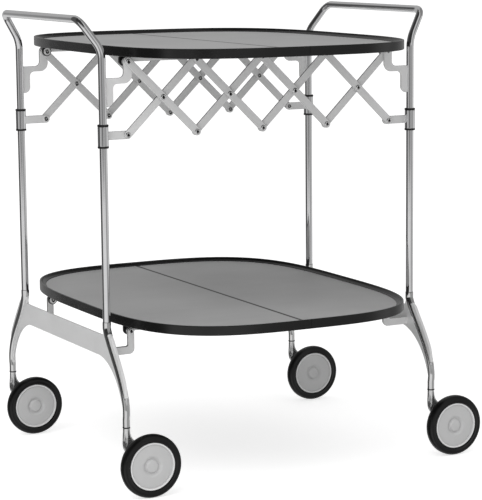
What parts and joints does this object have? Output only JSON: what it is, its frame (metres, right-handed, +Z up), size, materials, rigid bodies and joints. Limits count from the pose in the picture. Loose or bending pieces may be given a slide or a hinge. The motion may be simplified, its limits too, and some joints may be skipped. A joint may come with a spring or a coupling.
{
  "type": "folding bar cart",
  "caption": "Folding bar cart with split upper and lower trays, two tubular end frames, scissor linkages on both sides and swivel casters.",
  "frame": {"origin": "middle of the bounding box on the floor, with the cart open and the casters trailing to +X", "axes": "+Z up, the front linkage towards -Y, the end frames at -X and +X"},
  "size_m": [0.6896, 0.6818, 0.7601],
  "materials": {
    "chrome": "polished chrome plate on steel",
    "satin_aluminium": "satin, fine grained",
    "black_plastic": "moulded, fine texture",
    "tray_plastic": "moulded tray with a grey satin floor and a black rim",
    "zinc_steel": "zinc-plated strip",
    "grey_plastic": "painted light grey",
    "black_rubber": "soft tread rubber"
  },
  "bodies": {
    "left_frame": {"left_frame_tube": "chrome", "left_lower_frame": "satin_aluminium", "left_front_bracket": "satin_aluminium", "left_back_bracket": "satin_aluminium"},
    "right_frame": {"right_frame_tube": "chrome", "right_lower_frame": "satin_aluminium", "right_front_bracket": "satin_aluminium", "right_back_bracket": "satin_aluminium"},
    "upper_left": {"upper_tray_left": "tray_plastic", "upper_left_front_strap": "zinc_steel", "upper_left_back_strap": "zinc_steel"},
    "upper_right": {"upper_tray_right": "tray_plastic", "upper_right_front_strap": "zinc_steel", "upper_right_back_strap": "zinc_steel"},
    "lower_left": {"lower_tray_left": "tray_plastic", "lower_left_front_strap": "zinc_steel", "lower_left_back_strap": "zinc_steel"},
    "lower_right": {"lower_tray_right": "tray_plastic", "lower_right_front_strap": "zinc_steel", "lower_right_back_strap": "zinc_steel"},
    "front_outer_1": {"front_outer_bar_1": "satin_aluminium"},
    "front_outer_2": {"front_outer_bar_2": "satin_aluminium"},
    "front_outer_3": {"front_outer_bar_3": "satin_aluminium"},
    "front_outer_4": {"front_outer_bar_4": "satin_aluminium"},
    "front_inner_1": {"front_inner_bar_1": "satin_aluminium"},
    "front_inner_2": {"front_inner_bar_2": "satin_aluminium"},
    "front_inner_3": {"front_inner_bar_3": "satin_aluminium"},
    "front_inner_4": {"front_inner_bar_4": "satin_aluminium"},
    "back_outer_1": {"back_outer_bar_1": "satin_aluminium"},
    "back_outer_2": {"back_outer_bar_2": "satin_aluminium"},
    "back_outer_3": {"back_outer_bar_3": "satin_aluminium"},
    "back_outer_4": {"back_outer_bar_4": "satin_aluminium"},
    "back_inner_1": {"back_inner_bar_1": "satin_aluminium"},
    "back_inner_2": {"back_inner_bar_2": "satin_aluminium"},
    "back_inner_3": {"back_inner_bar_3": "satin_aluminium"},
    "back_inner_4": {"back_inner_bar_4": "satin_aluminium"},
    "left_front_sleeve_body": {"left_front_sleeve": "chrome", "left_front_bush": "black_plastic"},
    "left_front_caster": {"left_front_fork": "chrome", "left_front_washer": "black_plastic"},
    "left_front_wheel": {"left_front_hub": "grey_plastic", "left_front_tyre": "black_rubber"},
    "left_back_sleeve_body": {"left_back_sleeve": "chrome", "left_back_bush": "black_plastic"},
    "left_back_caster": {"left_back_fork": "chrome", "left_back_washer": "black_plastic"},
    "left_back_wheel": {"left_back_hub": "grey_plastic", "left_back_tyre": "black_rubber"},
    "right_front_sleeve_body": {"right_front_sleeve": "chrome", "right_front_bush": "black_plastic"},
    "right_front_caster": {"right_front_fork": "chrome", "right_front_washer": "black_plastic"},
    "right_front_wheel": {"right_front_hub": "grey_plastic", "right_front_tyre": "black_rubber"},
    "right_back_sleeve_body": {"right_back_sleeve": "chrome", "right_back_bush": "black_plastic"},
    "right_back_caster": {"right_back_fork": "chrome", "right_back_washer": "black_plastic"},
    "right_back_wheel": {"right_back_hub": "grey_plastic", "right_back_tyre": "black_rubber"}
  },
  "joints": [
    {"name": "fold", "type": "hinge", "parent": "left_frame", "child": "lower_left", "pos_m": [-0.26253, 0, 0.2519], "axis": [0, -1, 0], "range_deg": [0, 83.22]},
    {"name": "lower_middle_hinge", "type": "hinge", "parent": "lower_left", "child": "lower_right", "pos_m": [-0.02212, 0, 0.2519], "axis": [0, -1, 0], "range_deg": [-166.43, 0]},
    {"name": "lower_right_hinge", "type": "hinge", "parent": "lower_right", "child": "right_frame", "pos_m": [0.21827, 0, 0.2519], "axis": [0, -1, 0], "range_deg": [0, 83.22]},
    {"name": "upper_left_hinge", "type": "hinge", "parent": "left_frame", "child": "upper_left", "pos_m": [-0.26253, 0, 0.6864], "axis": [0, -1, 0], "range_deg": [0, 83.22]},
    {"name": "upper_middle_hinge", "type": "hinge", "parent": "upper_left", "child": "upper_right", "pos_m": [-0.02212, 0, 0.6864], "axis": [0, -1, 0], "range_deg": [-166.43, 0]},
    {"name": "front_outer_1_top", "type": "hinge", "parent": "left_frame", "child": "front_outer_1", "pos_m": [-0.26253, -0.1775, 0.6864], "axis": [0, -1, 0], "range_deg": [-40.92, 0]},
    {"name": "front_first_cross", "type": "hinge", "parent": "front_outer_1", "child": "front_inner_1", "pos_m": [-0.20242, -0.1775, 0.6279], "axis": [0, -1, 0], "range_deg": [0, 81.83]},
    {"name": "front_first_foot", "type": "hinge", "parent": "front_outer_1", "child": "front_inner_2", "pos_m": [-0.14233, -0.1775, 0.5694], "axis": [0, -1, 0], "range_deg": [0, 81.83]},
    {"name": "front_first_top", "type": "hinge", "parent": "front_inner_1", "child": "front_outer_2", "pos_m": [-0.14233, -0.1775, 0.6864], "axis": [0, -1, 0], "range_deg": [-81.83, 0]},
    {"name": "front_left_sleeve_pin", "type": "hinge", "parent": "front_inner_1", "child": "left_front_sleeve_body", "pos_m": [-0.26253, -0.1775, 0.5694], "axis": [0, -1, 0], "range_deg": [-40.92, 0]},
    {"name": "front_inner_4_top", "type": "hinge", "parent": "right_frame", "child": "front_inner_4", "pos_m": [0.21827, -0.1775, 0.6864], "axis": [0, -1, 0], "range_deg": [0, 40.92]},
    {"name": "front_last_cross", "type": "hinge", "parent": "front_inner_4", "child": "front_outer_4", "pos_m": [0.15818, -0.1775, 0.6279], "axis": [0, -1, 0], "range_deg": [-81.83, 0]},
    {"name": "front_last_foot", "type": "hinge", "parent": "front_inner_4", "child": "front_outer_3", "pos_m": [0.09807, -0.1775, 0.5694], "axis": [0, -1, 0], "range_deg": [-81.83, 0]},
    {"name": "front_last_top", "type": "hinge", "parent": "front_outer_4", "child": "front_inner_3", "pos_m": [0.09807, -0.1775, 0.6864], "axis": [0, -1, 0], "range_deg": [0, 81.83]},
    {"name": "front_right_sleeve_pin", "type": "hinge", "parent": "front_outer_4", "child": "right_front_sleeve_body", "pos_m": [0.21827, -0.1775, 0.5694], "axis": [0, -1, 0], "range_deg": [0, 40.92]},
    {"name": "back_outer_1_top", "type": "hinge", "parent": "right_frame", "child": "back_outer_1", "pos_m": [0.21827, 0.1775, 0.6864], "axis": [0, 1, 0], "range_deg": [-40.92, 0]},
    {"name": "back_first_cross", "type": "hinge", "parent": "back_outer_1", "child": "back_inner_1", "pos_m": [0.15818, 0.1775, 0.6279], "axis": [0, 1, 0], "range_deg": [0, 81.83]},
    {"name": "back_first_foot", "type": "hinge", "parent": "back_outer_1", "child": "back_inner_2", "pos_m": [0.09807, 0.1775, 0.5694], "axis": [0, 1, 0], "range_deg": [0, 81.83]},
    {"name": "back_first_top", "type": "hinge", "parent": "back_inner_1", "child": "back_outer_2", "pos_m": [0.09807, 0.1775, 0.6864], "axis": [0, 1, 0], "range_deg": [-81.83, 0]},
    {"name": "back_right_sleeve_pin", "type": "hinge", "parent": "back_inner_1", "child": "right_back_sleeve_body", "pos_m": [0.21827, 0.1775, 0.5694], "axis": [0, 1, 0], "range_deg": [-40.92, 0]},
    {"name": "back_inner_4_top", "type": "hinge", "parent": "left_frame", "child": "back_inner_4", "pos_m": [-0.26253, 0.1775, 0.6864], "axis": [0, 1, 0], "range_deg": [0, 40.92]},
    {"name": "back_last_cross", "type": "hinge", "parent": "back_inner_4", "child": "back_outer_4", "pos_m": [-0.20242, 0.1775, 0.6279], "axis": [0, 1, 0], "range_deg": [-81.83, 0]},
    {"name": "back_last_foot", "type": "hinge", "parent": "back_inner_4", "child": "back_outer_3", "pos_m": [-0.14233, 0.1775, 0.5694], "axis": [0, 1, 0], "range_deg": [-81.83, 0]},
    {"name": "back_last_top", "type": "hinge", "parent": "back_outer_4", "child": "back_inner_3", "pos_m": [-0.14233, 0.1775, 0.6864], "axis": [0, 1, 0], "range_deg": [0, 81.83]},
    {"name": "back_left_sleeve_pin", "type": "hinge", "parent": "back_outer_4", "child": "left_back_sleeve_body", "pos_m": [-0.26253, 0.1775, 0.5694], "axis": [0, 1, 0], "range_deg": [0, 40.92]},
    {"name": "left_front_swivel", "type": "hinge", "parent": "left_frame", "child": "left_front_caster", "pos_m": [-0.30662, -0.2479, 0.1], "axis": [0, 0, 1], "continuous": true},
    {"name": "left_front_wheel_spin", "type": "hinge", "parent": "left_front_caster", "child": "left_front_wheel", "pos_m": [-0.27563, -0.2714, 0.0515], "axis": [0, 1, 0], "continuous": true},
    {"name": "left_back_swivel", "type": "hinge", "parent": "left_frame", "child": "left_back_caster", "pos_m": [-0.30662, 0.2479, 0.1], "axis": [0, 0, 1], "continuous": true},
    {"name": "left_back_wheel_spin", "type": "hinge", "parent": "left_back_caster", "child": "left_back_wheel", "pos_m": [-0.27563, 0.2244, 0.0515], "axis": [0, 1, 0], "continuous": true},
    {"name": "right_front_swivel", "type": "hinge", "parent": "right_frame", "child": "right_front_caster", "pos_m": [0.26238, -0.2479, 0.1], "axis": [0, 0, 1], "continuous": true},
    {"name": "right_front_wheel_spin", "type": "hinge", "parent": "right_front_caster", "child": "right_front_wheel", "pos_m": [0.29337, -0.2714, 0.0515], "axis": [0, 1, 0], "continuous": true},
    {"name": "right_back_swivel", "type": "hinge", "parent": "right_frame", "child": "right_back_caster", "pos_m": [0.26238, 0.2479, 0.1], "axis": [0, 0, 1], "continuous": true},
    {"name": "right_back_wheel_spin", "type": "hinge", "parent": "right_back_caster", "child": "right_back_wheel", "pos_m": [0.29337, 0.2244, 0.0515], "axis": [0, 1, 0], "continuous": true}
  ],
  "couplings": [
    {"joint": "lower_middle_hinge", "follows": "fold", "ratio": -2},
    {"joint": "lower_right_hinge", "follows": "fold", "ratio": 1},
    {"joint": "upper_left_hinge", "follows": "fold", "ratio": 1},
    {"joint": "upper_middle_hinge", "follows": "fold", "ratio": -2},
    {"joint": "front_outer_1_top", "follows": "fold", "ratio": -0.4917},
    {"joint": "front_first_cross", "follows": "fold", "ratio": 0.98339},
    {"joint": "front_first_foot", "follows": "fold", "ratio": 0.98339},
    {"joint": "front_first_top", "follows": "fold", "ratio": -0.98339},
    {"joint": "front_left_sleeve_pin", "follows": "fold", "ratio": -0.4917},
    {"joint": "front_inner_4_top", "follows": "fold", "ratio": 0.4917},
    {"joint": "front_last_cross", "follows": "fold", "ratio": -0.98339},
    {"joint": "front_last_foot", "follows": "fold", "ratio": -0.98339},
    {"joint": "front_last_top", "follows": "fold", "ratio": 0.98339},
    {"joint": "front_right_sleeve_pin", "follows": "fold", "ratio": 0.4917},
    {"joint": "back_outer_1_top", "follows": "fold", "ratio": -0.4917},
    {"joint": "back_first_cross", "follows": "fold", "ratio": 0.98339},
    {"joint": "back_first_foot", "follows": "fold", "ratio": 0.98339},
    {"joint": "back_first_top", "follows": "fold", "ratio": -0.98339},
    {"joint": "back_right_sleeve_pin", "follows": "fold", "ratio": -0.4917},
    {"joint": "back_inner_4_top", "follows": "fold", "ratio": 0.4917},
    {"joint": "back_last_cross", "follows": "fold", "ratio": -0.98339},
    {"joint": "back_last_foot", "follows": "fold", "ratio": -0.98339},
    {"joint": "back_last_top", "follows": "fold", "ratio": 0.98339},
    {"joint": "back_left_sleeve_pin", "follows": "fold", "ratio": 0.4917}
  ]
}
